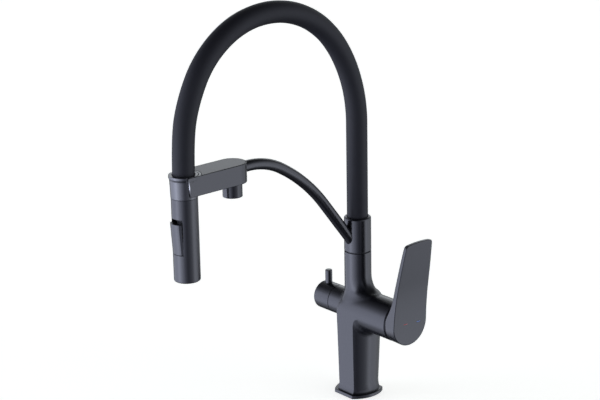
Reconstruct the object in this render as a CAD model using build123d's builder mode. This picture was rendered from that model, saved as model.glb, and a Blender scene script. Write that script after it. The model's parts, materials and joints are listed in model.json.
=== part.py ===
from build123d import *
import math
import os

os.makedirs("parts", exist_ok=True)

# Millimetres. Z is up from the counter, the spout points to -Y, the mixer lever is on +X.

# Fits
seat = 0.15  # radial play between pieces of one body
free = 0.3  # gap between pieces that move past each other
running = 0.05  # radial play of a pin or shaft in its bearing

# Base and column, each outline as half width of the flat front, half depth and side bulge
barrel_radius = 22.0
flange_size = (14.3, 23.8, 24.6)
foot_size = (12.5, 20.9, 21.6)
waist_size = (12.0, 18.9, 19.1)
shoulder_step = 0.2
shoulder_size = (13.3, barrel_radius - shoulder_step, 21.4)
shoulder_shift = 1.2
flange_back = 19.7
flange_height = 4.0
flange_edge = 0.5
flare_top = 12.5
flare_sweep = 78.0
shoulder_start = 97.0
shoulder_round = 16.0
spigot_radius = 14.6
spigot_bottom = 0.0
gasket_inner = 16.4
gasket_outer = 18.4
gasket_height = 2.0

# Threaded mounts in the underside
inlet_radius = 4.46
inlet_depth = 12.0
passage_radius = 3.8
passage_top = 82.0
hot_inlet = (-7.6, 3.5)
cold_inlet = (7.6, 3.5)
filter_inlet = (0.0, -8.6)
stud_hole = (0.0, 10.2)
stud_radius = 3.4
stud_depth = 16.0

# Mixer barrel, filter stub and neck
barrel_z = 101.0
barrel_top = barrel_z + barrel_radius
barrel_end = 66.5
barrel_chamfer = 2.4
column_fillet = 8.0
stub_radius = 16.0
stub_end = -33.0
neck_radius = 15.0
neck_top = 167.7
neck_bore = 9.0
neck_bore_bottom = 136.0
neck_fillet = 18.0
# Neck root sections as height above the barrel, left half width, right half width and half depth
neck_root = (
    (-17.0, 17.5, 40.0, 20.2),
    (-13.0, 17.2, 40.0, 19.6),
    (-9.5, 16.9, 40.0, 18.8),
    (-7.0, 16.4, 40.0, 17.6),
    (-4.0, 15.7, 38.0, 16.2),
    (-0.7, 15.2, 34.0, 15.4),
)

# Mixer cartridge, measured along the barrel
cartridge_seat = 28.0
cartridge_radius = 17.5
cartridge_nut_wall = 2.3
cartridge_neck_radius = cartridge_radius - cartridge_nut_wall
cartridge_wall = 2.0
cartridge_inner = cartridge_neck_radius - cartridge_wall
cartridge_shoulder = 48.0
cartridge_end = 58.0
cartridge_floor = 4.0
port_ring = 7.5
port_radius = 2.6
port_seal_radius = 4.6
port_seal_height = 1.5
disc_height = 4.0
disc_travel = 3.2
moving_disc_radius = cartridge_inner - disc_travel
moving_disc_height = 3.5
carrier_height = 5.0
guide_gap = 0.5
nut_end = 60.0
trim_end = 64.0
trim_lip = 0.8
trim_inner = cartridge_inner - trim_lip
pivot_x = 51.0
pivot_pin_radius = 1.5
spindle_half_width = 3.5
spindle_half_height = 3.0
spindle_end = 74.0
lever_lift = 15.0

# Lever handle
lever_gap = 0.8
lever_hub_step = 1.4
lever_hub_radius = barrel_radius + lever_hub_step
lever_hub_lift = 0.2
lever_hub_bottom = barrel_z - barrel_radius + lever_hub_lift
lever_face = 82.8
lever_side_taper = 1.9
lever_tip_half_width = 15.4
lever_top = 200.1
lever_crown = 1.5
lever_corner = 4.5
lever_spread = 0.17
lever_bend_z = 120.0
lever_lean = 10.7
lever_bend_radius = 340.0
lever_back_start = 109.0
lever_back_bend = (78.4, 129.0)
lever_tip_thickness = 4.2
lever_skirt = 1.6
lever_hollow = 74.0
lever_boss_radius = 7.5
grub_radius = 2.0
grub_x = 70.5
lever_edge = 0.8

# Filter tap, measured along the stub
filter_bore = 9.5
filter_seat = -12.0
filter_housing_end = -38.0
filter_guide_radius = 6.5
filter_spindle_radius = 4.0
filter_spindle_inner = -19.0
filter_spindle_end = -48.0
filter_disc_height = 2.5
filter_disc_radius = 7.0
knob_gap = 0.8
knob_end = -58.4
knob_round = 2.6
knob_hollow_radius = 12.6
knob_hollow = -40.0
knob_pin_x = -49.0
knob_pin_radius = 4.0
knob_pin_top = 132.2
knob_pin_root = 10.5
knob_pin_round = 0.9
knob_grub_x = -43.5

# Swivel
sleeve_bottom = 169.4
sleeve_radius = 15.0
sleeve_top = 207.8
sleeve_round = 2.2
sleeve_bore = 10.0
sleeve_floor = 189.0
recess_radius = 12.2
stem_water = 5.0
stem_seal_depth = 1.7
stem_seal_width = 2.4
stem_seal_heights = (172.5, 182.5)
slide_ring_inner = 10.6
slide_ring_outer = 13.6
clip_height = 1.0
clip_radius = 11.4
clip_groove = 0.9

# Bridge and filter nozzle
bridge_half_width = 15.4
bridge_top = 305.8
bridge_height = 20.9
bridge_bottom = bridge_top - bridge_height
bridge_rear = -174.4
jaw_tip = -242.3
jaw_slant = 2.0
jaw_gap = 0.7
bridge_edge = 0.7
cover_height = 1.2
cover_rim = 0.6
cover_slit = 0.7
cover_front_radius = 17.9
nozzle_radius = 10.4
nozzle_drop = 15.5
nozzle_bottom = bridge_bottom - nozzle_drop
nozzle_spigot = 8.0
nozzle_spigot_height = 3.9
nozzle_spigot_top = bridge_bottom + nozzle_spigot_height
nozzle_washer_height = 1.2
nozzle_bore = 8.8
nozzle_bore_depth = 10.2
nozzle_bore_top = nozzle_bottom + nozzle_bore_depth
nozzle_water = 4.0
mesh_hole = 0.9
mesh_ring = 5.4
mesh_count = 10

# Support arm in the plane of the spout
arm_radius = 6.0
arm_wall = 1.5
arm_rise = 12.8
arm_fall = 33.1
arm_z = bridge_bottom + arm_rise
arm_end_y = -168.0
arm_corners = ((-129.2, arm_z), (-73.8, arm_z - arm_fall))
arm_reach = (24.0, 40.0)
arm_foot = (-4.0, 174.4)
arm_stop_radius = 12.9
arm_seal_height = 1.2

# Spray head
head_y = -236.8
head_radius = 13.85
head_inner = 12.0
head_round = 1.5
collar_bottom_radius = 14.1
collar_top_radius = 14.8
collar_rise = 0.2
collar_top = bridge_top + collar_rise
collar_height = 24.0
head_top = collar_top - collar_height
head_length = 89.0
head_bottom = head_top - head_length
collar_groove = 0.5
lip_radius = 15.6
lip_height = 5.5
lip_band = 2.5
lip_foot = collar_top - lip_height
lip_start = collar_top - lip_band
lip_half_angle = 62.0
collar_spigot = 11.7
collar_spigot_length = 6.0
collar_spigot_bottom = head_top - collar_spigot_length
fitting_spigot = 8.0
core_top = collar_spigot_bottom - free
core_radius = 11.7
face_inset = 1.3
face_height = 6.0
face_bottom = head_bottom + face_inset
head_seal_height = 3.4
core_bottom = face_bottom + face_height + head_seal_height
aerator_radius = 6.0
nub_radius = 0.8
nub_height = 0.8
nub_ring = 9.2
nub_count = 16

# Hose, its route in the plane of the spout as (y, z)
hose_radius = 11.65
hose_bore = 7.1
inner_hose_radius = 6.8
inner_hose_bore = 4.9
hose_bottom = 199.0
hose_seat = 9.0
hose_end = collar_top - hose_seat
hose_corners = (
    (0.0, 338.7),
    (-15.0, 385.7),
    (-42.2, 424.0),
    (-80.0, 448.1),
    (-124.2, 456.2),
    (-168.9, 447.0),
    (-206.4, 419.2),
    (-227.0, 381.7),
    (head_y, 343.7),
)
bend_share = 0.45
fitting_height = 8.0
fitting_tail = 15.0
fitting_water = 3.4

# Rocker and diverter
rocker_drop = 41.6
rocker_z = head_top - rocker_drop
rocker_pivot = 8.0
rocker_half_height = 16.4
rocker_front_half = 7.2
rocker_half_width = 8.9
rocker_proud = 1.1
rocker_bevel = 2.0
rocker_back = 2.3
rocker_boss = 2.6
rocker_boss_half = 5.0
rocker_pin_radius = 1.2
rocker_tail = 6.5
window_below = 17.3
window_above = 20.9
window_corner = 0.5
pocket_floor = 5.0
ear_thickness = 2.0
spool_radius = 3.6
spool_y = 1.2
spool_length = 30.0
spool_groove = 1.6
spool_groove_half = 1.5
spool_seal_width = 1.6
spool_seal_depth = 0.9
spool_seal_inset = 3.0

# Working planes and axes
barrel_axis = Axis((0, 0, barrel_z), (1, 0, 0))
barrel_plane = Plane(origin=(0, 0, barrel_z), x_dir=(1, 0, 0), z_dir=(0, -1, 0))
barrel_cross = Plane(origin=(0, 0, barrel_z), x_dir=(0, 1, 0), z_dir=(1, 0, 0))
head_axis = Axis((0, head_y, 0), (0, 0, 1))
head_plane = Plane(origin=(0, head_y, 0), x_dir=(1, 0, 0), z_dir=(0, -1, 0))
head_level = Plane(origin=(0, head_y, 0))
arm_end = Plane(origin=(0, arm_end_y, arm_z), x_dir=(1, 0, 0), z_dir=(0, 1, 0))
nozzle_axis = Axis((0, bridge_rear, 0), (0, 0, 1))
nozzle_plane = Plane(origin=(0, bridge_rear, 0), x_dir=(1, 0, 0), z_dir=(0, -1, 0))
nozzle_level = Plane(origin=(0, bridge_rear, 0))


def turned(points):
    """Half section of a turned piece from (along or radius, radius or height) points."""
    with BuildSketch() as section:
        with BuildLine():
            Polyline(*points, close=True)
        make_face()
    return section.sketch


def ring(inner, outer):
    """Flat ring."""
    with BuildSketch() as section:
        Circle(outer)
        Circle(inner, mode=Mode.SUBTRACT)
    return section.sketch


def shaped_outline(half_width, half_depth, bulge):
    """Flat front and back joined by bulging side arcs."""
    with BuildSketch() as section:
        with BuildLine():
            Line((-half_width, -half_depth), (half_width, -half_depth))
            ThreePointArc((half_width, -half_depth), (bulge, 0), (half_width, half_depth))
            Line((half_width, half_depth), (-half_width, half_depth))
            ThreePointArc((-half_width, half_depth), (-bulge, 0), (-half_width, -half_depth))
        make_face()
    return section.sketch


def column_side(height, across):
    """Half width of the column at a height and a distance from its middle."""
    share = (height - flare_top) / (barrel_z - flare_top)
    half_width, half_depth, bulge = (w + share * (s - w) for w, s in zip(waist_size, shoulder_size))
    sagitta = bulge - half_width
    radius = (sagitta**2 + half_depth**2) / (2 * sagitta)
    return bulge - radius + math.sqrt(radius**2 - across**2)


def column_middle(height):
    """How far the column leans towards the barrel at a height."""
    return shoulder_shift * (height - flare_top) / (barrel_z - flare_top)


def column_outline(height, inset):
    """Column outline whose side arcs run on past the flat front and back."""
    reach = barrel_radius + 1
    side = column_side(height, reach)
    return shaped_outline(side - inset, reach, column_side(height, 0) - inset)


def neck_section(left, right, half_depth):
    """Egg shaped section of the neck root."""
    with BuildSketch() as section:
        with BuildLine():
            EllipticalCenterArc((0, 0), right, half_depth, start_angle=-90, arc_size=180)
            EllipticalCenterArc((0, 0), left, half_depth, start_angle=90, arc_size=180)
        make_face()
    return section.sketch


def bend_radius(before, corner, after, reach):
    """Radius of a bend that leaves both runs at a distance from their corner."""
    run_in = Vector(*corner) - Vector(*before)
    run_out = Vector(*after) - Vector(*corner)
    return reach / math.tan(math.radians(run_in.get_angle(run_out)) / 2)


def save(piece, name):
    piece.part.label = name
    export_step(piece.part, f"parts/{name}.step")


# Column below the barrel: tapered lens trimmed by a keyhole shaped side view
column_drop = barrel_z - flare_top
tangent_turn = math.acos(barrel_radius / math.hypot(waist_size[1], column_drop))
tangent_turn = tangent_turn - math.atan2(column_drop, waist_size[1])
tangent_y = barrel_radius * math.cos(tangent_turn)
tangent_z = barrel_z + barrel_radius * math.sin(tangent_turn)
with BuildPart() as column:
    for height in (flare_top, shoulder_start):
        with BuildSketch(Plane((column_middle(height), 0, height))):
            add(column_outline(height, 0))
    loft(ruled=True)
with BuildPart() as shoulder:
    for turn in (0, 16, 32, 48, 64):
        rise = shoulder_round * math.sin(math.radians(turn))
        inset = shoulder_round * (1 - math.cos(math.radians(turn)))
        with BuildSketch(Plane((column_middle(shoulder_start), 0, shoulder_start + rise))):
            add(column_outline(shoulder_start, inset))
    loft()
with BuildPart() as foot:
    for step in range(6):
        turn = math.radians(flare_sweep * step / 5)
        drop = math.sin(turn) / math.sin(math.radians(flare_sweep))
        spread = (1 - math.cos(turn)) / (1 - math.cos(math.radians(flare_sweep)))
        with BuildSketch(Plane.XY.offset(flare_top - (flare_top - flange_height) * drop)):
            add(shaped_outline(*(w + spread * (f - w) for w, f in zip(waist_size, foot_size))))
    loft()
    with BuildSketch(Plane.XY.offset(flange_height)):
        with Locations((0, 2 * waist_size[1])):
            Rectangle(3 * foot_size[2], 2 * waist_size[1])
    extrude(amount=flare_top - flange_height, mode=Mode.SUBTRACT)
neck_arc = []
for turn in (15, 30, 45, 60, 75, 90):
    rise = neck_fillet * (1 - math.cos(math.radians(turn)))
    right = neck_radius + neck_fillet * (1 - math.sin(math.radians(turn)))
    neck_arc.append((rise, neck_radius, right, neck_radius))


def neck_loft(sections):
    with BuildPart() as piece:
        for height, left, right, half_depth in sections:
            with BuildSketch(Plane.XY.offset(barrel_top + height)):
                add(neck_section(left, right, half_depth))
        loft()
    return piece.part


with BuildPart() as neck:
    add(neck_loft((*neck_root, neck_arc[0])))
    add(neck_loft(neck_arc))
    with BuildSketch(Plane.XY.offset(barrel_top + neck_fillet)):
        Circle(neck_radius)
    extrude(amount=neck_top - barrel_top - neck_fillet)

# Hollow corner between the column side and the barrel underside, slice by slice across the barrel
with BuildPart() as barrel_corner:
    for turn in (-90, -72, -48, -24, 0, 24, 48, 72, 90):
        across = barrel_radius * math.sin(math.radians(turn))
        under = barrel_z - barrel_radius * math.cos(math.radians(turn))
        if abs(turn) == 90:
            across = 1.1 * across
        side = column_middle(under) + column_side(under, across)
        hollow = column_fillet * (1 - math.sqrt(0.5))
        with BuildSketch(Plane.XZ.offset(-across)):
            with BuildLine():
                Polyline(
                    (side, under - column_fillet),
                    (side - 3, under - column_fillet),
                    (side - 3, under + 2),
                    (side + column_fillet, under + 2),
                    (side + column_fillet, under),
                )
                ThreePointArc(
                    (side + column_fillet, under),
                    (side + hollow, under - hollow),
                    (side, under - column_fillet),
                )
            make_face()
    loft()

with BuildPart() as body_casting:
    add(column.part)
    add(shoulder.part)
    add(barrel_corner.part)
    with BuildSketch(Plane.YZ):
        with BuildLine():
            Polyline(
                (-tangent_y, tangent_z),
                (-waist_size[1], flare_top),
                (waist_size[1], flare_top),
                (tangent_y, tangent_z),
            )
            ThreePointArc(
                (tangent_y, tangent_z), (0, barrel_z + barrel_radius), (-tangent_y, tangent_z)
            )
        make_face()
    extrude(amount=2 * barrel_radius, both=True, mode=Mode.INTERSECT)
    with BuildSketch(barrel_cross):
        Circle(barrel_radius)
    extrude(amount=barrel_end)
    add(foot.part)
    with BuildSketch(barrel_cross):
        Circle(stub_radius)
    extrude(amount=stub_end)
    add(neck.part)
    with BuildSketch(Plane.XY.offset(spigot_bottom)):
        Circle(spigot_radius)
    extrude(amount=flange_height - spigot_bottom + 1)
    # Cartridge bore with a chamfered mouth, filter bore and swivel bore
    with BuildSketch(barrel_plane):
        add(
            turned(
                (
                    (cartridge_seat, 0),
                    (cartridge_seat, cartridge_radius + free),
                    (barrel_end, cartridge_radius + free),
                    (barrel_end, 0),
                )
            )
        )
        add(
            turned(
                (
                    (barrel_end - barrel_chamfer, barrel_radius),
                    (barrel_end, barrel_radius - barrel_chamfer),
                    (barrel_end + 1, barrel_radius - barrel_chamfer),
                    (barrel_end + 1, barrel_radius + 1),
                    (barrel_end - barrel_chamfer, barrel_radius + 1),
                )
            )
        )
    revolve(axis=barrel_axis, mode=Mode.SUBTRACT)
    with BuildSketch(barrel_cross.offset(stub_end)):
        Circle(filter_bore)
    extrude(amount=filter_seat - stub_end, mode=Mode.SUBTRACT)
    with BuildSketch(Plane.XY.offset(neck_top)):
        Circle(neck_bore)
    extrude(amount=neck_bore_bottom - neck_top, mode=Mode.SUBTRACT)
    # Threaded inlets with their water passages, and the stud hole
    with BuildSketch(Plane.XY.offset(spigot_bottom)):
        with Locations(hot_inlet, cold_inlet, filter_inlet):
            Circle(inlet_radius)
    extrude(amount=inlet_depth, mode=Mode.SUBTRACT)
    with BuildSketch(Plane.XY.offset(spigot_bottom)):
        with Locations(hot_inlet, cold_inlet, filter_inlet):
            Circle(passage_radius)
    extrude(amount=passage_top, mode=Mode.SUBTRACT)
    with BuildSketch(Plane.XY.offset(spigot_bottom)):
        with Locations(stud_hole):
            Circle(stud_radius)
    extrude(amount=stud_depth, mode=Mode.SUBTRACT)
save(body_casting, "body_casting")

with BuildPart() as base_flange:
    with BuildSketch():
        add(shaped_outline(*flange_size))
    extrude(amount=flange_height)
    chamfer(base_flange.faces().sort_by(Axis.Z)[-1].outer_wire().edges(), flange_edge)
    with BuildSketch():
        with Locations((0, 2 * flange_back)):
            Rectangle(3 * flange_size[2], 2 * flange_back)
    extrude(amount=flange_height, mode=Mode.SUBTRACT)
    with BuildSketch():
        Circle(spigot_radius + seat)
    extrude(amount=flange_height, mode=Mode.SUBTRACT)
    with BuildSketch():
        add(ring(gasket_inner - seat, gasket_outer + seat))
    extrude(amount=gasket_height, mode=Mode.SUBTRACT)
save(base_flange, "base_flange")

with BuildPart() as base_gasket:
    with BuildSketch():
        add(ring(gasket_inner, gasket_outer))
    extrude(amount=gasket_height)
save(base_gasket, "base_gasket")

# Mixer cartridge
disc_start = cartridge_seat + cartridge_floor
moving_start = disc_start + disc_height
carrier_start = moving_start + moving_disc_height
carrier_end = carrier_start + carrier_height
guide_start = carrier_end + guide_gap
guide_end = cartridge_end - guide_gap
with BuildPart() as cartridge_housing:
    with BuildSketch(barrel_plane):
        add(
            turned(
                (
                    (cartridge_seat, 0),
                    (cartridge_seat, cartridge_radius),
                    (cartridge_shoulder, cartridge_radius),
                    (cartridge_shoulder, cartridge_neck_radius),
                    (cartridge_end, cartridge_neck_radius),
                    (cartridge_end, cartridge_inner),
                    (disc_start, cartridge_inner),
                    (disc_start, 0),
                )
            )
        )
    revolve(axis=barrel_axis)
    with BuildSketch(barrel_cross.offset(cartridge_seat)):
        with PolarLocations(port_ring, 3):
            Circle(port_radius)
    extrude(amount=cartridge_floor, mode=Mode.SUBTRACT)
    with BuildSketch(barrel_cross.offset(cartridge_seat)):
        with PolarLocations(port_ring, 3):
            Circle(port_seal_radius + seat)
    extrude(amount=port_seal_height, mode=Mode.SUBTRACT)
save(cartridge_housing, "cartridge_housing")

with BuildPart() as cartridge_seals:
    with BuildSketch(barrel_cross.offset(cartridge_seat)):
        with PolarLocations(port_ring, 3):
            add(ring(port_radius, port_seal_radius))
    extrude(amount=port_seal_height)
save(cartridge_seals, "cartridge_seals")

with BuildPart() as fixed_disc:
    with BuildSketch(barrel_cross.offset(disc_start)):
        Circle(cartridge_inner - seat)
        with PolarLocations(port_ring, 3):
            Circle(port_radius, mode=Mode.SUBTRACT)
    extrude(amount=disc_height)
save(fixed_disc, "fixed_disc")

with BuildPart() as moving_disc:
    with BuildSketch(barrel_cross.offset(moving_start)):
        Circle(moving_disc_radius)
    extrude(amount=moving_disc_height)
    with BuildSketch(barrel_cross.offset(moving_start)):
        SlotOverall(2 * port_ring, 2 * port_radius)
    extrude(amount=moving_disc_height / 2, mode=Mode.SUBTRACT)
save(moving_disc, "moving_disc")

spindle_arm = pivot_x - (carrier_end - carrier_height + 1 + free + spindle_half_height)
with BuildPart() as disc_carrier:
    with BuildSketch(barrel_cross.offset(carrier_start)):
        Circle(moving_disc_radius)
    extrude(amount=carrier_height)
    with BuildSketch(barrel_cross.offset(carrier_end)):
        Rectangle(2 * (spindle_half_width + free), 2 * (spindle_half_height + free))
    extrude(amount=1 - carrier_height, mode=Mode.SUBTRACT)
save(disc_carrier, "disc_carrier")

# Slot in the guide lets the spindle swing through the lift
slot_swing = (guide_end - pivot_x) * math.tan(math.radians(lever_lift))
slot_half = spindle_half_height / math.cos(math.radians(lever_lift)) + slot_swing + free
with BuildPart() as lever_guide:
    with BuildSketch(barrel_cross.offset(guide_start)):
        Circle(cartridge_inner - free)
        Rectangle(2 * (spindle_half_width + free), 2 * slot_half, mode=Mode.SUBTRACT)
    extrude(amount=guide_end - guide_start)
    with BuildSketch(barrel_plane):
        with Locations((pivot_x, 0)):
            Circle(pivot_pin_radius + running)
    extrude(amount=cartridge_inner, both=True, mode=Mode.SUBTRACT)
save(lever_guide, "lever_guide")

with BuildPart() as lever_pivot_pin:
    with BuildSketch(barrel_plane):
        with Locations((pivot_x, 0)):
            Circle(pivot_pin_radius)
    extrude(amount=cartridge_inner - 2, both=True)
save(lever_pivot_pin, "lever_pivot_pin")

with BuildPart() as lever_spindle:
    with BuildSketch(barrel_plane):
        with BuildLine():
            Line((pivot_x - spindle_arm, spindle_half_height), (spindle_end, spindle_half_height))
            Line((spindle_end, spindle_half_height), (spindle_end, -spindle_half_height))
            Line((spindle_end, -spindle_half_height), (pivot_x - spindle_arm, -spindle_half_height))
            ThreePointArc(
                (pivot_x - spindle_arm, -spindle_half_height),
                (pivot_x - spindle_arm - spindle_half_height, 0),
                (pivot_x - spindle_arm, spindle_half_height),
            )
        make_face()
        with Locations((pivot_x, 0)):
            Circle(pivot_pin_radius + running, mode=Mode.SUBTRACT)
    extrude(amount=spindle_half_width, both=True)
save(lever_spindle, "lever_spindle")

with BuildPart() as cartridge_nut:
    with BuildSketch(barrel_cross.offset(cartridge_shoulder)):
        add(ring(cartridge_neck_radius + seat, cartridge_radius + seat))
    extrude(amount=nut_end - cartridge_shoulder)
save(cartridge_nut, "cartridge_nut")

with BuildPart() as trim_ring:
    with BuildSketch(barrel_plane):
        add(
            turned(
                (
                    (cartridge_end, trim_inner),
                    (cartridge_end, cartridge_neck_radius),
                    (nut_end, cartridge_neck_radius),
                    (nut_end, cartridge_radius),
                    (nut_end + 1, cartridge_radius),
                    (trim_end, cartridge_radius - 2.5),
                    (trim_end, trim_inner),
                )
            )
        )
    revolve(axis=barrel_axis)
save(trim_ring, "trim_ring")

# Lever handle: front outline spread along the barrel, trimmed by its side view
lever_start = barrel_end + lever_gap
lean = math.tan(math.radians(lever_lean))
face_top = lever_face + lean * (lever_top + 10 - lever_bend_z)
tip_face = lever_face + lean * (lever_top - lever_bend_z)


def lever_outline(offset):
    """Front view of the lever, round at the hub, its sides curving in to the tip."""
    radius = lever_hub_radius + offset
    hub_z = lever_hub_bottom - barrel_z + radius
    taper = math.radians(lever_side_taper)
    side_x = radius * math.cos(taper)
    side_z = hub_z + radius * math.sin(taper)
    top_x = lever_tip_half_width + offset
    top_z = lever_top - barrel_z
    with BuildSketch() as section:
        with BuildLine():
            TangentArc((side_x, side_z), (top_x, top_z), tangent=(-math.sin(taper), math.cos(taper)))
            ThreePointArc((top_x, top_z), (0, top_z + lever_crown), (-top_x, top_z))
            TangentArc((-side_x, side_z), (-top_x, top_z), tangent=(math.sin(taper), math.cos(taper)))
            ThreePointArc((side_x, side_z), (0, hub_z - radius), (-side_x, side_z))
        make_face()
        fillet(section.vertices().sort_by(Axis.Y)[-2:], lever_corner)
    return section.sketch


with BuildPart() as lever_handle:
    for station in (lever_start - 1, face_top + 2):
        with BuildSketch(barrel_cross.offset(station)):
            add(lever_outline(lever_spread * (station - (lever_start + lever_face) / 2)))
    loft(ruled=True)
    with BuildSketch(Plane(origin=(0, 0, 0), x_dir=(1, 0, 0), z_dir=(0, -1, 0))):
        with BuildLine():
            front = FilletPolyline(
                (lever_face, 0),
                (lever_face, lever_bend_z),
                (face_top, lever_top + 10),
                radius=lever_bend_radius,
            )
            tip_back = tip_face - lever_tip_thickness
            back_lean = (tip_back - lever_back_bend[0]) / (lever_top - lever_back_bend[1])
            back = FilletPolyline(
                (lever_start, 0),
                (lever_start, lever_back_start),
                lever_back_bend,
                (tip_back + 10 * back_lean, lever_top + 10),
                radius=(12, 60),
            )
            Line(front @ 0, back @ 0)
            Line(front @ 1, back @ 1)
        make_face()
    extrude(amount=2 * lever_hub_radius, both=True, mode=Mode.INTERSECT)
    front_edges = [edge for face in faces() if face.normal_at().X > 0.9 for edge in face.edges()]
    rim = [edge for edge in front_edges if front_edges.count(edge) == 1]
    fillet(rim, lever_edge)
    # Hollow hub: its thin lower skirt passes over the chamfered barrel mouth when the lever lifts
    with BuildSketch(barrel_cross.offset(lever_start)):
        Circle(barrel_radius - lever_skirt)
        with Locations((0, barrel_radius + 1)):
            Rectangle(3 * barrel_radius, 2 * barrel_radius, mode=Mode.SUBTRACT)
        Circle(cartridge_neck_radius)
        Circle(lever_boss_radius, mode=Mode.SUBTRACT)
    extrude(amount=lever_hollow - lever_start, mode=Mode.SUBTRACT)
    with BuildSketch(barrel_cross.offset(lever_start)):
        Rectangle(2 * (spindle_half_width + seat), 2 * (spindle_half_height + seat))
    extrude(amount=spindle_end + seat - lever_start, mode=Mode.SUBTRACT)
    with BuildSketch(Plane.XY.offset(barrel_z)):
        with Locations((grub_x, 0)):
            Circle(grub_radius + seat)
    extrude(amount=-1.2 * barrel_radius, mode=Mode.SUBTRACT)
save(lever_handle, "lever_handle")

with BuildPart() as lever_grub_screw:
    with BuildSketch(Plane.XY.offset(barrel_z - spindle_half_height)):
        with Locations((grub_x, 0)):
            Circle(grub_radius)
    extrude(amount=spindle_half_height - lever_boss_radius)
save(lever_grub_screw, "lever_grub_screw")

# Filter tap
filter_shoulder = stub_end + 1.5
filter_disc_seat = filter_seat - 3
with BuildPart() as filter_valve_housing:
    with BuildSketch(barrel_plane):
        add(
            turned(
                (
                    (filter_seat - 1.5, filter_disc_radius - 2),
                    (filter_seat - 1.5, filter_bore - seat),
                    (filter_shoulder, filter_bore - seat),
                    (filter_shoulder, filter_guide_radius),
                    (filter_housing_end, filter_guide_radius),
                    (filter_housing_end, filter_spindle_radius + running),
                    (filter_spindle_inner, filter_spindle_radius + running),
                    (filter_spindle_inner, filter_disc_radius + free),
                    (filter_disc_seat, filter_disc_radius + free),
                    (filter_disc_seat, filter_disc_radius - 2),
                )
            )
        )
    revolve(axis=barrel_axis)
save(filter_valve_housing, "filter_valve_housing")

with BuildPart() as filter_valve_seal:
    with BuildSketch(barrel_cross.offset(filter_seat)):
        add(ring(filter_disc_radius - 2, filter_bore - seat))
    extrude(amount=-1.5)
save(filter_valve_seal, "filter_valve_seal")

with BuildPart() as filter_fixed_disc:
    with BuildSketch(barrel_cross.offset(filter_disc_seat)):
        Circle(filter_disc_radius)
        with PolarLocations(filter_disc_radius / 2, 2):
            Circle(filter_disc_radius / 4, mode=Mode.SUBTRACT)
    extrude(amount=-(filter_disc_seat - filter_spindle_inner) / 2)
save(filter_fixed_disc, "filter_fixed_disc")

with BuildPart() as filter_moving_disc:
    with BuildSketch(barrel_cross.offset((filter_disc_seat + filter_spindle_inner) / 2)):
        Circle(filter_disc_radius - seat)
        with PolarLocations(filter_disc_radius / 2, 2, start_angle=90):
            Circle(filter_disc_radius / 4, mode=Mode.SUBTRACT)
    extrude(amount=-(filter_disc_seat - filter_spindle_inner) / 2)
save(filter_moving_disc, "filter_moving_disc")

with BuildPart() as filter_spindle:
    with BuildSketch(barrel_cross.offset(filter_spindle_inner)):
        Circle(filter_spindle_radius)
    extrude(amount=filter_spindle_end - filter_spindle_inner)
save(filter_spindle, "filter_spindle")

knob_start = stub_end - knob_gap
with BuildPart() as filter_knob:
    with BuildSketch(barrel_cross.offset(knob_start)):
        Circle(stub_radius)
    extrude(amount=knob_end - knob_start)
    fillet(filter_knob.edges().filter_by_position(Axis.X, knob_end - 0.1, knob_end + 0.1), knob_round)
    with BuildSketch(barrel_cross.offset(knob_start)):
        Circle(knob_hollow_radius)
    extrude(amount=knob_hollow - knob_start, mode=Mode.SUBTRACT)
    with BuildSketch(barrel_cross.offset(knob_start)):
        Circle(filter_spindle_radius + seat)
    extrude(amount=filter_spindle_end - seat - knob_start, mode=Mode.SUBTRACT)
    with BuildSketch(Plane.XY.offset(barrel_z + knob_pin_root)):
        with Locations((knob_pin_x, 0)):
            Circle(knob_pin_radius + seat)
    extrude(amount=stub_radius, mode=Mode.SUBTRACT)
    with BuildSketch(Plane.XY.offset(barrel_z)):
        with Locations((knob_grub_x, 0)):
            Circle(grub_radius + seat)
    extrude(amount=-1.2 * stub_radius, mode=Mode.SUBTRACT)
save(filter_knob, "filter_knob")

with BuildPart() as filter_lever_pin:
    with BuildSketch(Plane.XY.offset(barrel_z + knob_pin_root)):
        with Locations((knob_pin_x, 0)):
            Circle(knob_pin_radius)
    extrude(amount=knob_pin_top - barrel_z - knob_pin_root)
    fillet(filter_lever_pin.edges().group_by(Axis.Z)[-1], knob_pin_round)
save(filter_lever_pin, "filter_lever_pin")

with BuildPart() as filter_grub_screw:
    with BuildSketch(Plane.XY.offset(barrel_z - filter_spindle_radius)):
        with Locations((knob_grub_x, 0)):
            Circle(grub_radius)
    extrude(amount=filter_spindle_radius - 0.8 * stub_radius)
save(filter_grub_screw, "filter_grub_screw")

# Swivel
stem_radius = sleeve_bore - 2 * running
stem_top = sleeve_floor + free + 2 * clip_height
clip_bottom = sleeve_floor + free
with BuildPart() as swivel_stem:
    with BuildSketch(Plane.XZ):
        add(
            turned(
                (
                    (stem_water, neck_bore_bottom),
                    (neck_bore - seat, neck_bore_bottom),
                    (neck_bore - seat, neck_top),
                    (stem_radius, neck_top),
                    (stem_radius, clip_bottom),
                    (stem_radius - clip_groove, clip_bottom),
                    (stem_radius - clip_groove, clip_bottom + clip_height),
                    (stem_radius, clip_bottom + clip_height),
                    (stem_radius, stem_top),
                    (stem_water, stem_top),
                )
            )
        )
    revolve(axis=Axis.Z)
    for height in stem_seal_heights:
        with BuildSketch(Plane.XY.offset(height)):
            add(ring(stem_radius - stem_seal_depth, stem_radius + 1))
        extrude(amount=stem_seal_width, mode=Mode.SUBTRACT)
save(swivel_stem, "swivel_stem")

with BuildPart() as swivel_seals:
    for height in stem_seal_heights:
        with BuildSketch(Plane.XY.offset(height)):
            add(ring(stem_radius - stem_seal_depth, stem_radius))
        extrude(amount=stem_seal_width)
save(swivel_seals, "swivel_seals")

with BuildPart() as stem_clip:
    with BuildSketch(Plane.XY.offset(clip_bottom)):
        add(ring(stem_radius - clip_groove, clip_radius))
        with Locations((0, clip_radius)):
            Rectangle(clip_radius / 2, clip_radius, mode=Mode.SUBTRACT)
    extrude(amount=clip_height)
save(stem_clip, "stem_clip")

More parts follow.
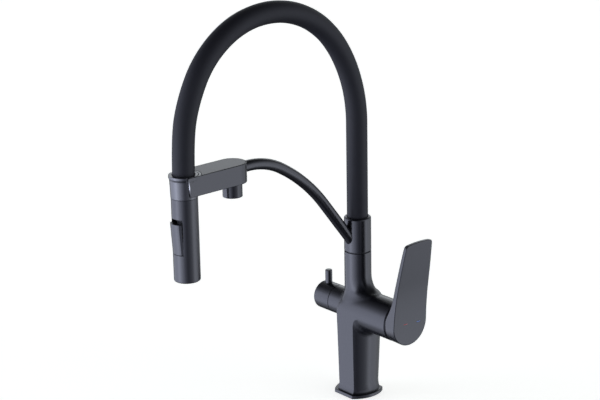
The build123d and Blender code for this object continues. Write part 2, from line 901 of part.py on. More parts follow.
with BuildPart() as slide_ring:
    with BuildSketch(Plane.XY.offset(neck_top)):
        add(ring(slide_ring_inner, slide_ring_outer))
    extrude(amount=sleeve_bottom - neck_top)
save(slide_ring, "slide_ring")

arm_drop = Vector(0, arm_foot[0] - arm_corners[1][0], arm_foot[1] - arm_corners[1][1]).normalized()
with BuildPart() as arm_socket:
    with BuildSketch(Plane(origin=(0, *arm_foot), x_dir=(1, 0, 0), z_dir=arm_drop)):
        Circle(arm_radius + seat)
    extrude(amount=-3 * sleeve_radius)
    with BuildSketch(Plane.XY.offset(sleeve_bottom)):
        Circle(arm_stop_radius)
    extrude(amount=sleeve_top - sleeve_bottom, mode=Mode.SUBTRACT)

with BuildPart() as swivel_sleeve:
    with BuildSketch(Plane.XZ):
        add(
            turned(
                (
                    (sleeve_bore, sleeve_bottom),
                    (sleeve_radius, sleeve_bottom),
                    (sleeve_radius, sleeve_top),
                    (recess_radius, sleeve_top),
                    (recess_radius, sleeve_floor),
                    (sleeve_bore, sleeve_floor),
                )
            )
        )
    revolve(axis=Axis.Z)
    top_edges = swivel_sleeve.edges().filter_by(GeomType.CIRCLE).group_by(Axis.Z)[-1]
    fillet(top_edges.sort_by(SortBy.RADIUS)[-1], sleeve_round)
    add(arm_socket.part, mode=Mode.SUBTRACT)
save(swivel_sleeve, "swivel_sleeve")

arm_points = ((arm_end_y, arm_z), *arm_corners, arm_foot)
arm_bends = [bend_radius(*corner) for corner in zip(arm_points, arm_points[1:], arm_points[2:], arm_reach)]
with BuildPart() as support_arm:
    with BuildLine() as arm_path:
        FilletPolyline(*((0, y, z) for y, z in arm_points), radius=arm_bends)
    with BuildSketch(arm_end):
        add(ring(arm_radius - arm_wall, arm_radius))
    sweep(path=arm_path.wires()[0])
    with BuildSketch(Plane.XY.offset(sleeve_bottom)):
        Circle(arm_stop_radius + seat)
    extrude(amount=sleeve_top - sleeve_bottom, mode=Mode.SUBTRACT)
save(support_arm, "support_arm")

with BuildPart() as arm_seal:
    with BuildSketch(arm_end):
        add(ring(arm_radius - arm_wall, arm_radius))
    extrude(amount=-arm_seal_height)
save(arm_seal, "arm_seal")

# Bridge
collar_slope = (collar_top_radius - collar_bottom_radius) / (collar_top - head_top)
notch_bottom = collar_bottom_radius + collar_slope * (bridge_bottom - head_top) + jaw_gap
notch_top = collar_bottom_radius + collar_slope * (bridge_top - head_top) + jaw_gap


def bridge_outline(inset, front):
    """Plan of the bridge, round at the rear and cut by a circle round the head at the front."""
    half_width = bridge_half_width - inset
    length = bridge_rear - head_y
    with BuildSketch() as section:
        Circle(half_width)
        with Locations((0, -length / 2)):
            Rectangle(2 * half_width, length)
        with Locations((0, -length)):
            Circle(front, mode=Mode.SUBTRACT)
    return section.sketch


with BuildPart() as bridge_housing:
    with BuildSketch(nozzle_level.offset(bridge_bottom)):
        Circle(bridge_half_width)
        with Locations((0, (jaw_tip - bridge_rear) / 2)):
            Rectangle(2 * bridge_half_width, bridge_rear - jaw_tip)
    extrude(amount=bridge_top - bridge_bottom)
    lowest = bridge_housing.faces().sort_by(Axis.Z)
    fillet(lowest[0].edges() + lowest[-1].edges(), bridge_edge)
    with BuildSketch(head_plane):
        add(
            turned(
                (
                    (0, bridge_bottom),
                    (notch_bottom, bridge_bottom),
                    (notch_top, bridge_top),
                    (0, bridge_top),
                )
            )
        )
    revolve(axis=head_axis, mode=Mode.SUBTRACT)
    with BuildSketch(Plane.YZ):
        with BuildLine():
            Polyline(
                (jaw_tip, bridge_bottom),
                (jaw_tip + jaw_slant, bridge_bottom),
                (jaw_tip, bridge_top),
                close=True,
            )
        make_face()
    extrude(amount=2 * bridge_half_width, both=True, mode=Mode.SUBTRACT)
    with BuildSketch(nozzle_level.offset(bridge_top - cover_height)):
        add(bridge_outline(cover_rim, cover_front_radius))
    extrude(amount=cover_height, mode=Mode.SUBTRACT)
    with BuildSketch(nozzle_level.offset(bridge_bottom)):
        Circle(nozzle_spigot + seat)
    extrude(amount=nozzle_spigot_top + nozzle_washer_height - bridge_bottom, mode=Mode.SUBTRACT)
    with BuildSketch(nozzle_level.offset(bridge_bottom)):
        Circle(nozzle_water)
    extrude(amount=arm_z - bridge_bottom, mode=Mode.SUBTRACT)
    with BuildSketch(arm_end.offset(-arm_seal_height)):
        Circle(arm_radius + seat)
    extrude(amount=bridge_half_width, mode=Mode.SUBTRACT)
    with BuildSketch(Plane(origin=(0, bridge_rear, arm_z), x_dir=(1, 0, 0), z_dir=(0, 1, 0))):
        Circle(nozzle_water)
    extrude(amount=arm_end_y - bridge_rear, mode=Mode.SUBTRACT)
save(bridge_housing, "bridge_housing")

with BuildPart() as bridge_cover:
    with BuildSketch(nozzle_level.offset(bridge_top - cover_height)):
        add(bridge_outline(cover_rim + cover_slit, cover_front_radius + cover_slit))
    extrude(amount=cover_height)
save(bridge_cover, "bridge_cover")

with BuildPart() as nozzle_housing:
    with BuildSketch(nozzle_plane):
        add(
            turned(
                (
                    (nozzle_bore, nozzle_bottom),
                    (nozzle_radius, nozzle_bottom),
                    (nozzle_radius, bridge_bottom),
                    (nozzle_spigot, bridge_bottom),
                    (nozzle_spigot, nozzle_spigot_top),
                    (nozzle_water, nozzle_spigot_top),
                    (nozzle_water, nozzle_bore_top),
                    (nozzle_bore, nozzle_bore_top),
                )
            )
        )
    revolve(axis=nozzle_axis)
save(nozzle_housing, "nozzle_housing")

with BuildPart() as nozzle_washer:
    with BuildSketch(nozzle_level.offset(nozzle_spigot_top)):
        add(ring(nozzle_water, nozzle_spigot))
    extrude(amount=nozzle_washer_height)
save(nozzle_washer, "nozzle_washer")

with BuildPart() as nozzle_aerator:
    with BuildSketch(nozzle_level.offset(nozzle_bottom + 1)):
        Circle(nozzle_bore - seat)
        with PolarLocations(mesh_ring, mesh_count):
            Circle(mesh_hole, mode=Mode.SUBTRACT)
    extrude(amount=nozzle_bore_top - nozzle_bottom - 1)
save(nozzle_aerator, "nozzle_aerator")

# Hose: straight runs and tangent arcs, each bend as wide as its shorter run allows
hose_points = [(0.0, hose_bottom), *hose_corners, (head_y, hose_end)]
hose_bends = []
for before, corner, after in zip(hose_points, hose_points[1:], hose_points[2:]):
    shorter = min(math.dist(before, corner), math.dist(corner, after))
    hose_bends.append(bend_radius(before, corner, after, bend_share * shorter))


def hose_tube(inner, outer):
    with BuildPart() as tube:
        with BuildLine() as path:
            FilletPolyline(*((0, y, z) for y, z in hose_points), radius=hose_bends)
        with BuildSketch(Plane.XY.offset(hose_bottom)):
            add(ring(inner, outer))
        sweep(path=path.wires()[0])
    return tube


spout_hose = hose_tube(hose_bore, hose_radius)
save(spout_hose, "spout_hose")

inner_hose = hose_tube(inner_hose_bore, inner_hose_radius)
save(inner_hose, "inner_hose")

with BuildPart() as lower_hose_fitting:
    with BuildSketch(Plane.XZ):
        add(
            turned(
                (
                    (fitting_water, hose_bottom - fitting_height + 0.8),
                    (recess_radius - seat, hose_bottom - fitting_height + 0.8),
                    (recess_radius - seat, hose_bottom),
                    (inner_hose_bore - free, hose_bottom),
                    (inner_hose_bore - free, hose_bottom + fitting_tail),
                    (fitting_water, hose_bottom + fitting_tail),
                )
            )
        )
    revolve(axis=Axis.Z)
save(lower_hose_fitting, "lower_hose_fitting")

# Spray head
flange_bottom = hose_end - fitting_height
with BuildPart() as upper_hose_fitting:
    with BuildSketch(head_plane):
        add(
            turned(
                (
                    (fitting_water, core_top),
                    (fitting_spigot, core_top),
                    (fitting_spigot, flange_bottom),
                    (recess_radius - seat, flange_bottom),
                    (recess_radius - seat, hose_end),
                    (inner_hose_bore - free, hose_end),
                    (inner_hose_bore - free, hose_end + fitting_tail),
                    (fitting_water, hose_end + fitting_tail),
                )
            )
        )
    revolve(axis=head_axis)
save(upper_hose_fitting, "upper_hose_fitting")

lip_angle = math.radians(-90 - lip_half_angle)
lip_plane = Plane(
    origin=(0, head_y, 0),
    x_dir=(math.cos(lip_angle), math.sin(lip_angle), 0),
    z_dir=(math.sin(lip_angle), -math.cos(lip_angle), 0),
)
with BuildPart() as dock_collar:
    with BuildSketch(head_plane):
        add(
            turned(
                (
                    (fitting_spigot + seat, collar_spigot_bottom),
                    (collar_spigot, collar_spigot_bottom),
                    (collar_spigot, head_top),
                    (collar_bottom_radius - collar_groove, head_top),
                    (collar_bottom_radius, head_top + collar_groove),
                    (collar_top_radius, collar_top),
                    (recess_radius, collar_top),
                    (recess_radius, flange_bottom),
                    (fitting_spigot + seat, flange_bottom),
                )
            )
        )
    revolve(axis=head_axis)
    with BuildSketch(lip_plane):
        add(
            turned(
                (
                    (recess_radius + 1, lip_foot),
                    (collar_bottom_radius + 0.3, lip_foot),
                    (lip_radius, lip_start),
                    (lip_radius, collar_top),
                    (recess_radius + 1, collar_top),
                )
            )
        )
    revolve(axis=head_axis, revolution_arc=2 * lip_half_angle)
save(dock_collar, "dock_collar")

window_half_width = rocker_half_width + free
window_height = window_above + window_below
window_middle = rocker_z + (window_above - window_below) / 2
with BuildPart() as head_shell:
    with BuildSketch(head_level.offset(head_bottom)):
        Circle(head_radius)
    extrude(amount=head_top - head_bottom)
    fillet(head_shell.edges().group_by(Axis.Z)[0], head_round)
    with BuildSketch(head_level.offset(head_bottom)):
        Circle(head_inner)
    extrude(amount=head_top - head_bottom, mode=Mode.SUBTRACT)
    with BuildSketch(head_plane):
        with Locations((0, window_middle)):
            RectangleRounded(2 * window_half_width, window_height, window_corner)
    extrude(amount=2 * head_radius, mode=Mode.SUBTRACT)
save(head_shell, "head_shell")

# At rest the rocker leans until its bottom end lies level with the shell
rocker_sin = rocker_proud / rocker_half_height
rocker_cos = math.sqrt(1 - rocker_sin**2)
spool_travel = 2 * rocker_tail * rocker_sin
spool_bottom = rocker_z - spool_length / 2
spool_bore_reach = spool_length / 2 + spool_travel + 1
spool_level = head_level.offset(spool_bottom).move(Location((0, spool_y, 0)))
with BuildPart() as head_core:
    with BuildSketch(head_level.offset(core_bottom)):
        Circle(core_radius)
    extrude(amount=core_top - core_bottom)
    # Pocket behind the rocker with two ears for its pin
    with BuildSketch(head_plane.offset(pocket_floor)):
        with Locations((0, window_middle)):
            Rectangle(3 * core_radius, window_height + 2)
    extrude(amount=core_radius, mode=Mode.SUBTRACT)
    ear_middle = rocker_boss_half + free + ear_thickness / 2
    with BuildSketch(head_plane.offset(pocket_floor - 1)):
        with Locations((-ear_middle, rocker_z), (ear_middle, rocker_z)):
            Rectangle(ear_thickness, 4 * rocker_pin_radius)
    extrude(amount=rocker_pivot - pocket_floor + 1 + 1.4 * rocker_pin_radius)
    with BuildSketch(Plane(origin=(0, head_y - rocker_pivot, rocker_z), z_dir=(1, 0, 0))):
        Circle(rocker_pin_radius + running)
    extrude(amount=core_radius, both=True, mode=Mode.SUBTRACT)
    with BuildSketch(Plane(origin=(0, head_y + spool_y, core_bottom))):
        Circle(spool_radius + 2 * running)
    extrude(amount=rocker_z + spool_bore_reach - core_bottom, mode=Mode.SUBTRACT)
    # Slot that lets the rocker tail reach the spool
    with BuildSketch(head_plane.offset(-spool_y)):
        with Locations((0, rocker_z)):
            Rectangle(2 * rocker_boss_half - 2, 4 * rocker_boss)
    extrude(amount=pocket_floor + spool_y, mode=Mode.SUBTRACT)
save(head_core, "head_core")

with BuildPart() as head_seal:
    with BuildSketch(head_level.offset(core_bottom)):
        add(ring(spool_radius + 2, core_radius))
    extrude(amount=-head_seal_height)
save(head_seal, "head_seal")

with BuildPart() as spray_face:
    with BuildSketch(head_level.offset(face_bottom)):
        add(ring(aerator_radius + seat, head_inner - seat))
    extrude(amount=face_height)
    with BuildSketch(head_level.offset(face_bottom)):
        with PolarLocations(nub_ring, nub_count):
            Circle(nub_radius)
    extrude(amount=-nub_height)
save(spray_face, "spray_face")

with BuildPart() as spray_aerator:
    with BuildSketch(head_level.offset(face_bottom)):
        Circle(aerator_radius)
        with PolarLocations(aerator_radius / 2, mesh_count // 2):
            Circle(mesh_hole, mode=Mode.SUBTRACT)
    extrude(amount=face_height)
save(spray_aerator, "spray_aerator")

# Rocker, drawn level and then set with its top standing out
rocker_middle = (0, head_y - rocker_pivot, rocker_z)
rocker_level = Plane(origin=rocker_middle, x_dir=(1, 0, 0), z_dir=(0, -rocker_sin, rocker_cos))
rocker_side = Plane(origin=rocker_middle, x_dir=(0, rocker_cos, rocker_sin), z_dir=(1, 0, 0))
rocker_front = head_radius - rocker_pivot + rocker_proud
rocker_shoulder = rocker_front - head_radius + math.sqrt(head_radius**2 - rocker_front_half**2)
with BuildPart() as rocker_button:
    with BuildSketch(rocker_level.offset(-rocker_half_height)):
        with BuildLine():
            crown = ThreePointArc(
                (-rocker_front_half, -rocker_shoulder),
                (0, -rocker_front),
                (rocker_front_half, -rocker_shoulder),
            )
            Polyline(
                crown @ 1,
                (rocker_half_width, rocker_bevel - rocker_shoulder),
                (rocker_half_width - 1, -rocker_back),
                (1 - rocker_half_width, -rocker_back),
                (-rocker_half_width, rocker_bevel - rocker_shoulder),
                crown @ 0,
            )
        make_face()
    extrude(amount=2 * rocker_half_height)
    with BuildSketch(rocker_side.offset(-rocker_boss_half)):
        Circle(rocker_boss)
        with Locations((-rocker_back - 0.5, 0)):
            Rectangle(2 * rocker_back + 1, 2 * rocker_boss)
        Circle(rocker_pin_radius + running, mode=Mode.SUBTRACT)
    extrude(amount=2 * rocker_boss_half)
    with BuildSketch(rocker_side.offset(2 - rocker_boss_half)):
        with Locations(((rocker_tail + rocker_boss) / 2, 0)):
            Rectangle(rocker_tail - rocker_boss + 1, 2 * (spool_groove_half - 2 * free))
    extrude(amount=2 * rocker_boss_half - 4)
save(rocker_button, "rocker_button")

with BuildPart() as rocker_pin:
    with BuildSketch(Plane(origin=(0, head_y - rocker_pivot, rocker_z), z_dir=(1, 0, 0))):
        Circle(rocker_pin_radius)
    extrude(amount=rocker_boss_half + free + ear_thickness, both=True)
save(rocker_pin, "rocker_pin")

spool_seal_insets = (spool_seal_inset, spool_length - spool_seal_inset - spool_seal_width)
with BuildPart() as diverter_spool:
    with BuildSketch(spool_level):
        Circle(spool_radius)
    extrude(amount=spool_length)
    tail_z = rocker_z + rocker_tail * rocker_sin
    with BuildSketch(Plane(origin=(0, head_y + spool_y, tail_z - spool_groove_half))):
        add(ring(spool_radius - spool_groove, spool_radius + 1))
    extrude(amount=2 * spool_groove_half, mode=Mode.SUBTRACT)
    for inset in spool_seal_insets:
        with BuildSketch(spool_level.offset(inset)):
            add(ring(spool_radius - spool_seal_depth, spool_radius + 1))
        extrude(amount=spool_seal_width, mode=Mode.SUBTRACT)
save(diverter_spool, "diverter_spool")

with BuildPart() as spool_seals:
    for inset in spool_seal_insets:
        with BuildSketch(spool_level.offset(inset)):
            add(ring(spool_radius - spool_seal_depth, spool_radius))
        extrude(amount=spool_seal_width)
save(spool_seals, "spool_seals")
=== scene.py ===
import json
import math

import bmesh
import bpy
from mathutils import Matrix, Vector


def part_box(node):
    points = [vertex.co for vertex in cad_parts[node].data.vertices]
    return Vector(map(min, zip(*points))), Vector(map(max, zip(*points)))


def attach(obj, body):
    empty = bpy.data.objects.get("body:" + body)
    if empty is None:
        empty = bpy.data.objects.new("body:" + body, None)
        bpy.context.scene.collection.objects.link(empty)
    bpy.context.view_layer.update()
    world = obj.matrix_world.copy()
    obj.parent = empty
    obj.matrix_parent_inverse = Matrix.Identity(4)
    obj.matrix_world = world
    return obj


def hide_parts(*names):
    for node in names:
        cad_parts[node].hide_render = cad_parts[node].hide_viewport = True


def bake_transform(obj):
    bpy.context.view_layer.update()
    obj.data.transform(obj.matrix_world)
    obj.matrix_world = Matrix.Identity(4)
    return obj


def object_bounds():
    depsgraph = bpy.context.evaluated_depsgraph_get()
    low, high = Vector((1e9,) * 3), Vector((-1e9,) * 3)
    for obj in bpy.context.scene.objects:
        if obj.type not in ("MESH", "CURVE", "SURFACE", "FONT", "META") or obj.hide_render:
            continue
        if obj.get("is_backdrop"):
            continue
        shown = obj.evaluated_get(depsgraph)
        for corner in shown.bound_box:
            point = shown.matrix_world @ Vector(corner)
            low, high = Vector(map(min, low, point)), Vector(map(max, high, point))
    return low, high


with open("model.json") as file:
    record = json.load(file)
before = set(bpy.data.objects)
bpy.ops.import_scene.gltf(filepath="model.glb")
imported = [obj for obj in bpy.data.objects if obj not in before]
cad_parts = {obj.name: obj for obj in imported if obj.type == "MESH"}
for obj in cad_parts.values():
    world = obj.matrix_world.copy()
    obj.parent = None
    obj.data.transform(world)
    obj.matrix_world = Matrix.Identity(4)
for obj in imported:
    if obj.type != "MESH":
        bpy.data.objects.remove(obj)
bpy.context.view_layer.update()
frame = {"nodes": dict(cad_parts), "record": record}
nodes = frame["nodes"]
scene = bpy.context.scene


def add_object(name, data):
    """New object of the scene that holds a mesh, a curve or the camera."""
    made = bpy.data.objects.new(name, data)
    scene.collection.objects.link(made)
    return made


# Camera at the photograph's viewing angle, without lens shift
PHOTO_WIDTH = 600
FOCAL_PIXELS = 1889.7
SENSOR_WIDTH = 36
EYE = Vector((1.45907, -1.33292, 0.86097))
YAW, PITCH, ROLL = (math.radians(a) for a in (49.412, 17.79, -1.052))
level = math.cos(PITCH)
back = Vector((math.sin(YAW) * level, -math.cos(YAW) * level, math.sin(PITCH)))
level_back = Vector((back.x, back.y, 0)).normalized()
level_right = Vector((math.cos(YAW), math.sin(YAW), 0))
right = level_right * math.cos(ROLL) + back.cross(level_right) * math.sin(ROLL)
view_axes = Matrix((right, back.cross(right), back)).transposed().to_4x4()
camera = add_object("camera", bpy.data.cameras.new("camera"))
camera.data.sensor_width = SENSOR_WIDTH
camera.data.lens = SENSOR_WIDTH * FOCAL_PIXELS / PHOTO_WIDTH
camera.matrix_world = Matrix.Translation(EYE) @ view_axes
scene.camera = camera

# Building blocks of the materials and the world
SMOOTH = {"interpolation_type": "SMOOTHSTEP"}


class Tree:
    """Node tree of a material or a world, built by calls.

    A socket is called by its name, with _ for a space, or by the letter i and its number."""

    def __init__(self, owner):
        owner.use_nodes = True
        self.tree = owner.node_tree
        self.tree.nodes.clear()

    def node(self, kind, settings=None, **sockets):
        """Make a node, set its plain values, join its links and give its first output."""
        made = self.tree.nodes.new("ShaderNode" + kind)
        for key, value in (settings or {}).items():
            setattr(made, key, value)
        for key, value in sockets.items():
            socket = made.inputs[int(key[1:])] if key[1:].isdigit() else made.inputs[key.replace("_", " ")]
            if isinstance(value, bpy.types.NodeSocket):
                self.tree.links.new(value, socket)
            else:
                socket.default_value = value
        return made.outputs[0] if made.outputs else made

    def mix(self, share, first, second):
        """Colour that goes from the first to the second as the share goes from 0 to 1."""
        return self.node("Mix", {"data_type": "RGBA"}, Factor=share, i6=first, i7=second).node.outputs[2]

    def multiply(self, first, second):
        return self.node("Math", {"operation": "MULTIPLY"}, i0=first, i1=second)

    def band(self, value, low, high, ease):
        """One between low and high, falling smoothly to zero over the ease outside them."""
        rising = self.node("MapRange", SMOOTH, Value=value, From_Min=low - ease, From_Max=low)
        falling = self.node("MapRange", SMOOTH, Value=value, From_Min=high + ease, From_Max=high)
        return self.multiply(rising, falling)

    def ramp(self, value, stops):
        """Smooth colour ramp through (position, colour) stops."""
        made = self.node("ValToRGB", Fac=value)
        elements = made.node.color_ramp.elements
        made.node.color_ramp.interpolation = "EASE"
        while len(elements) < len(stops):
            elements.new(0.5)
        for element, (position, colour) in zip(elements, stops):
            element.position = position
            element.color = colour
        return made

    def camera_only(self, shown, others):
        """Shader that camera rays see, with another one for all other rays."""
        seen = self.node("LightPath").node.outputs["Is Camera Ray"]
        return self.node("MixShader", i0=seen, i1=others, i2=shown)


def grey(value, blue=1.0):
    return (value, value, value * blue, 1)


def greys(low, high, blue=1.0):
    """Darkest and palest tone of a grey finish."""
    return grey(low, blue), grey(high, blue)


# Finishes: a slow drift of tone, a fine grain in gloss and bump, and corners that look rounded
DRIFT_SCALE = 35.0
DRIFT_DETAIL = 3.0
GRAIN_SCALE = 900.0
GRAIN_DETAIL = 2.0
GRAIN_DEPTH = 0.00002
GRAIN_STRENGTH = 0.2
GLOSS_SPREAD = 0.03
EDGE_RADIUS = 0.0003
EDGE_SAMPLES = 8


def coat(name, tones, rough, grain=GRAIN_SCALE, metal=0.0, specular=0.5, edge=EDGE_RADIUS, blend=None):
    """Painted, moulded or turned surface.

    Corners look as round as the edge, and inside the blend's ranges of x and z as round as its radius."""
    material = bpy.data.materials.new(name)
    tree = Tree(material)
    place = tree.node("TexCoord").node.outputs["Object"]
    drift = tree.node("TexNoise", Vector=place, Scale=DRIFT_SCALE, Detail=DRIFT_DETAIL)
    fine = tree.node("TexNoise", Vector=place, Scale=grain, Detail=GRAIN_DETAIL)
    tone = tree.mix(drift, *tones)
    gloss = tree.node("MapRange", Value=fine, To_Min=rough - GLOSS_SPREAD, To_Max=rough + GLOSS_SPREAD)
    if blend:
        along, up, ease, radius = blend
        axes = tree.node("SeparateXYZ", Vector=place).node.outputs
        inside = tree.multiply(tree.band(axes["X"], *along, ease), tree.band(axes["Z"], *up, ease))
        edge = tree.node("MapRange", Value=inside, To_Min=edge, To_Max=radius)
    corner = tree.node("Bevel", {"samples": EDGE_SAMPLES}, Radius=edge)
    bump = tree.node("Bump", Height=fine, Distance=GRAIN_DEPTH, Strength=GRAIN_STRENGTH, Normal=corner)
    shader = tree.node("BsdfPrincipled", Base_Color=tone, Roughness=gloss, Metallic=metal, Normal=bump,
                       Specular_IOR_Level=specular)
    tree.node("OutputMaterial", Surface=shader)
    return material


BLUE_CAST = 1.2
BLACK = greys(0.004, 0.006, BLUE_CAST)
# Painted light: a paler copy of the black for the spray head, its collar and rocker stands in for the
# stronger light on them
PAINTED_LIT_BLACK = greys(0.005, 0.007, BLUE_CAST)
HOSE_BLACK = greys(0.007, 0.0095, BLUE_CAST)
BRASS = ((0.55, 0.38, 0.16, 1), (0.62, 0.45, 0.2, 1))
FINISHES = {
    "black_metal": dict(tones=BLACK, rough=0.25),
    "black_cover": dict(tones=BLACK, rough=0.36),
    "black_hose": dict(tones=HOSE_BLACK, rough=0.6, grain=500.0, specular=0.25),
    "hose_liner": dict(tones=greys(0.5, 0.58), rough=0.5),
    # Painted light: the rocker's paler black and stronger specular stand in for the stronger light on the
    # spray head
    "rocker_plastic": dict(tones=PAINTED_LIT_BLACK, rough=0.33, specular=0.65),
    "seal_rubber": dict(tones=greys(0.006, 0.01), rough=0.7),
    "ceramic": dict(tones=greys(0.75, 0.82), rough=0.15),
    "inner_plastic": dict(tones=greys(0.6, 0.66), rough=0.45),
    "spray_plastic": dict(tones=greys(0.012, 0.018, 1.1), rough=0.5),
    "brass": dict(tones=BRASS, rough=0.3, metal=1.0),
    "steel": dict(tones=greys(0.5, 0.58), rough=0.3, metal=1.0),
}
materials = {slot: coat(slot, **finish) for slot, finish in FINISHES.items()}
for subpart in frame["record"]["subparts"]:
    mesh = nodes[subpart["node"]].data
    mesh.materials.clear()
    mesh.materials.append(materials[subpart["material_slot"]])

# Nodes with a coat of their own: the casting's neck, shoulder and barrel run into each other without a line,
# the lever has softer edges, and the spray head and its collar are glossier and paler. This is painted
# light:
# a lit copy of the black stands in for the stronger light on them
SHOULDER_ALONG = (-0.022, 0.05)
SHOULDER_UP = (0.104, 0.14)
SHOULDER_EASE = 0.01
SHOULDER_RADIUS = 0.006
SHOULDER = (SHOULDER_ALONG, SHOULDER_UP, SHOULDER_EASE, SHOULDER_RADIUS)
OWN_COATS = {
    "body_casting": dict(tones=BLACK, rough=0.25, blend=SHOULDER),
    "lever_handle": dict(tones=BLACK, rough=0.25, edge=0.0016),
    # Painted light: the paler black and stronger specular on the spray head and its collar stand in for the
    # stronger light there
    "head_shell": dict(tones=PAINTED_LIT_BLACK, rough=0.3, specular=0.6),
    "dock_collar": dict(tones=PAINTED_LIT_BLACK, rough=0.3, specular=1.0),
}
for name, finish in OWN_COATS.items():
    nodes[name].data.materials[0] = coat(name + "_coat", **finish)


def prism(name, ring, shift, material, round_sides=False):
    """Closed piece between a ring of points and the same ring moved along a shift."""
    solid = bmesh.new()
    ends = [[solid.verts.new(point + step) for point in ring] for step in (Vector(), shift)]
    for i, lower in enumerate(ends[0]):
        wall = solid.faces.new((ends[0][i - 1], lower, ends[1][i], ends[1][i - 1]))
        wall.smooth = round_sides
    for end in ends:
        solid.faces.new(end)
    bmesh.ops.recalc_face_normals(solid, faces=solid.faces)
    mesh = bpy.data.meshes.new(name)
    solid.to_mesh(mesh)
    solid.free()
    mesh.materials.append(material)
    return add_object(name, mesh)


# Hot and cold marks printed on the lever's face, by the y and z of their middles
MARK_WIDTH = 0.0056
MARK_HEIGHT = 0.0009
MARK_LIFT = Vector((0.00004, 0, 0))
MARK_ROUGH = 0.45
MARKS = (
    ("hot_mark", -0.007, 0.105, ((0.30, 0.03, 0.03, 1), (0.38, 0.05, 0.05, 1))),
    ("cold_mark", 0.0125, 0.1035, ((0.05, 0.12, 0.34, 1), (0.07, 0.16, 0.42, 1))),
)
BEYOND_LEVER = 0.2
bpy.context.view_layer.update()


def on_face(y, z):
    """Point of the lever's face at a place in side view."""
    return nodes["lever_handle"].ray_cast(Vector((BEYOND_LEVER, y, z)), Vector((-1, 0, 0)))[1]


for name, y, z, tones in MARKS:
    ring = []
    for side, rise in ((-1, -1), (1, -1), (1, 1), (-1, 1)):
        ring.append(on_face(y + side * MARK_WIDTH / 2, z + rise * MARK_HEIGHT / 2) + MARK_LIFT)
    mark = prism(name, ring, -2 * MARK_LIFT, coat(name, tones, MARK_ROUGH))
    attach(mark, "mixer_lever")

# Jaw of the bridge: thin walls that close its top edge beside the collar, and rounded lips on its front
# edges, whose pale steel colour is a painted highlight along the jaw's edge
BRIDGE_EDGE = 0.0007
COLLAR_Y = -0.2368
JAW_TIP = -0.2423
JAW_SLANT = 0.002
WALL = Vector((0.00044, 0.011, 0.004))
WALL_PROUD = 0.00001
WALL_STEPS = 4
LIP_RADIUS = 0.0005
LIP_SIDES = 16
bridge_low, bridge_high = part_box("bridge_housing")
outer = bridge_high.x + WALL_PROUD
inner = outer - WALL.x
rounding = math.acos((inner - bridge_high.x + BRIDGE_EDGE) / BRIDGE_EDGE)
wall_section = [(inner, -WALL.z), (outer, -WALL.z)]
for step in range(WALL_STEPS + 1):
    angle = rounding * step / WALL_STEPS
    inset = BRIDGE_EDGE * (1 - math.cos(angle))
    drop = BRIDGE_EDGE * (1 - math.sin(angle))
    wall_section.append((outer - inset, -drop))
lip_turns = [math.tau * step / LIP_SIDES for step in range(LIP_SIDES)]
lip_rise = Vector((0, -JAW_SLANT, bridge_high.z - bridge_low.z - 2 * BRIDGE_EDGE))
for side, label in ((-1, "left"), (1, "right")):
    ring = [Vector((side * x, COLLAR_Y - WALL.y / 2, bridge_high.z + z)) for x, z in wall_section]
    wall = prism("jaw_wall_" + label, ring, Vector((0, WALL.y, 0)), materials["black_metal"])
    foot = Vector((side * bridge_high.x, JAW_TIP + JAW_SLANT, bridge_low.z + BRIDGE_EDGE))
    ring = [foot + LIP_RADIUS * Vector((math.cos(turn), math.sin(turn), 0)) for turn in lip_turns]
    # Painted highlight: the lips take the pale steel colour to stand in for the bright line of light along
    # the jaw's edge
    lip = prism("jaw_highlight_lip_" + label, ring, lip_rise, materials["steel"], round_sides=True)
    for made, slot in ((wall, "black_metal"), (lip, "steel")):
        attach(made, "spout")

# Hose along the route's points as (y, z); the second point keeps the long lower stretch straight
HOSE_RADIUS = 0.01165
LINER_RADIUS = 0.0068
ROUTE_STEPS = 16
SECTION_STEPS = 10
HOSE_ROUTE = (
    (0.0, 0.199),
    (0.0, 0.2894),
    (0.0, 0.3387),
    (-0.0150, 0.3857),
    (-0.0422, 0.4240),
    (-0.0800, 0.4481),
    (-0.1242, 0.4562),
    (-0.1689, 0.4470),
    (-0.2064, 0.4192),
    (-0.2270, 0.3817),
    (-0.2368, 0.3437),
    (-0.2368, 0.297),
)


def route_mesh(name, radius):
    """Mesh of a round tube along the route, or of its bare line where the radius is 0."""
    curve = bpy.data.curves.new(name, "CURVE")
    curve.dimensions = "3D"
    curve.resolution_u = ROUTE_STEPS
    curve.bevel_depth = radius
    curve.bevel_resolution = SECTION_STEPS
    spline = curve.splines.new("NURBS")
    spline.points.add(len(HOSE_ROUTE) - 1)
    for point, (y, z) in zip(spline.points, HOSE_ROUTE):
        point.co = (0, y, z, 1)
    spline.order_u = 3
    spline.use_endpoint_u = True
    made = add_object(name, curve)
    bpy.context.view_layer.update()
    mesh = bpy.data.meshes.new_from_object(made.evaluated_get(bpy.context.evaluated_depsgraph_get()))
    bpy.data.objects.remove(made)
    return mesh


hose_line = [vertex.co.copy() for vertex in route_mesh("hose_line", 0).vertices]
for name, node, slot, radius in (
    ("hose_cover", "spout_hose", "black_hose", HOSE_RADIUS),
    ("hose_liner", "inner_hose", "hose_liner", LINER_RADIUS),
):
    tube = add_object(name, route_mesh(name, radius))
    tube.data.shade_smooth()
    tube.data.materials.clear()
    tube.data.materials.append(materials[slot])
    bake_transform(tube)
    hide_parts(node)

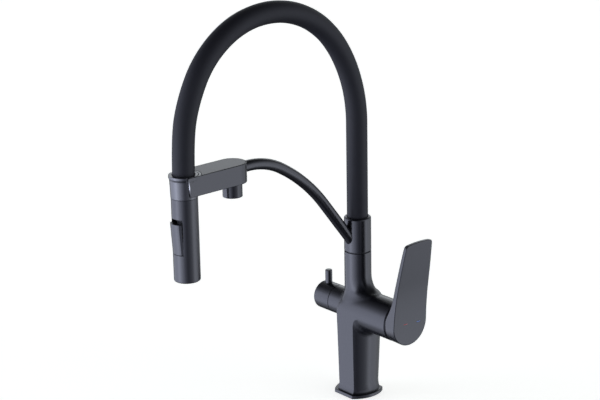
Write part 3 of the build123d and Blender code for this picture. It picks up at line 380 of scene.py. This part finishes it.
# Floor: white with the object's shadow to the camera, and open to the light from below
FLOOR_REACH = 4
FLOOR_TONES = greys(0.92, 0.94, 0.84)
FLOOR_GLOW = 0.71
SPECKLE_SCALE = 40.0
SPECKLE_DETAIL = 2.0
floor_mesh = bpy.data.meshes.new("floor")
floor_corners = [(x * FLOOR_REACH, y * FLOOR_REACH, 0) for x, y in ((-1, -1), (1, -1), (1, 1), (-1, 1))]
floor_mesh.from_pydata(floor_corners, [], [(0, 1, 2, 3)])
floor = add_object("floor", floor_mesh)
floor_material = bpy.data.materials.new("floor")
tree = Tree(floor_material)
speckle = tree.node("TexNoise", Scale=SPECKLE_SCALE, Detail=SPECKLE_DETAIL)
matte = tree.node("BsdfDiffuse", Color=tree.mix(speckle, *FLOOR_TONES))
glow = tree.node("Emission", Color=grey(1.0), Strength=FLOOR_GLOW)
white_floor = tree.node("AddShader", i0=matte, i1=glow)
open_floor = tree.node("BsdfTransparent")
tree.node("OutputMaterial", Surface=tree.camera_only(white_floor, open_floor))
floor_mesh.materials.append(floor_material)
floor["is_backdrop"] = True

# Surround: radiance of its low and its high ring and red's share of blue, by degrees right of the camera
SURROUND = (
    (-180, 0.3, 2.1, 0.9),
    (-150, 0.1, 1.7, 0.84),
    (-130, 1.8, 1.0, 0.8),
    (-110, 2.4, 2.5, 0.75),
    (-85, 3.7, 4.3, 0.735),
    (-65, 5.9, 0.3, 0.75),
    (-45, 3.8, 0.1, 0.75),
    (-25, 2.3, 0.15, 0.73),
    (-5, 0.9, 0.25, 0.72),
    (12, 0.3, 0.6, 0.7),
    (35, 0.7, 1.5, 0.75),
    (55, 1.1, 2.3, 0.79),
    (75, 3.0, 2.9, 0.81),
    (90, 2.0, 2.3, 0.81),
    (110, 1.45, 1.8, 0.83),
    (132, 0.6, 0.75, 0.87),
    (155, 0.4, 1.55, 0.91),
    (180, 0.3, 2.1, 0.9),
)
# Share of the radiance by height, from -1 for straight down to 1 for straight up
HEIGHTS = (
    (-1.0, 0.08),
    (-0.88, 0.10),
    (-0.68, 0.34),
    (-0.5, 0.95),
    (-0.3, 1.0),
    (-0.05, 0.98),
    (0.12, 0.92),
    (0.3, 0.82),
    (0.45, 0.42),
    (0.7, 0.10),
    (1.0, 0.06),
)
# Green's share of blue is this much above red's
GREEN_STEP = 0.045
# Heights between which the low ring gives way to the high one
LOW_RING_TOP = -0.05
HIGH_RING_BOTTOM = 0.25
BRIGHTEST = max(max(low, high) for degrees, low, high, red in SURROUND)

world = bpy.data.worlds.new("studio")
scene.world = world
tree = Tree(world)
toward = tree.node("TexCoord").node.outputs["Generated"]
dot = {"operation": "DOT_PRODUCT"}
ahead = tree.node("VectorMath", dot, i0=toward, i1=level_back).node.outputs["Value"]
aside = tree.node("VectorMath", dot, i0=toward, i1=level_right).node.outputs["Value"]
turn = tree.node("Math", {"operation": "ARCTAN2"}, i0=aside, i1=ahead)
around = tree.node("MapRange", Value=turn, From_Min=-math.pi, From_Max=math.pi)
low_stops = []
high_stops = []
for degrees, low, high, red in SURROUND:
    for stops, radiance in ((low_stops, low / BRIGHTEST), (high_stops, high / BRIGHTEST)):
        colour = (radiance * red, radiance * (red + GREEN_STEP), radiance, 1)
        stops.append(((degrees + 180) / 360, colour))
height = tree.node("SeparateXYZ", Vector=toward).node.outputs["Z"]
above = tree.node("MapRange", SMOOTH, Value=height, From_Min=LOW_RING_TOP, From_Max=HIGH_RING_BOTTOM)
ring_colour = tree.mix(above, tree.ramp(around, low_stops), tree.ramp(around, high_stops))
climb = tree.node("MapRange", Value=height, From_Min=-1.0, From_Max=1.0)
height_share = tree.ramp(climb, [((z + 1) / 2, grey(share)) for z, share in HEIGHTS])
surround = tree.node("Background", Color=ring_colour, Strength=tree.multiply(height_share, BRIGHTEST))
paper = tree.node("Background", Color=grey(1.0), Strength=1.0)
tree.node("OutputWorld", Surface=tree.camera_only(paper, surround))

scene.view_settings.view_transform = "Standard"
low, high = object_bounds()
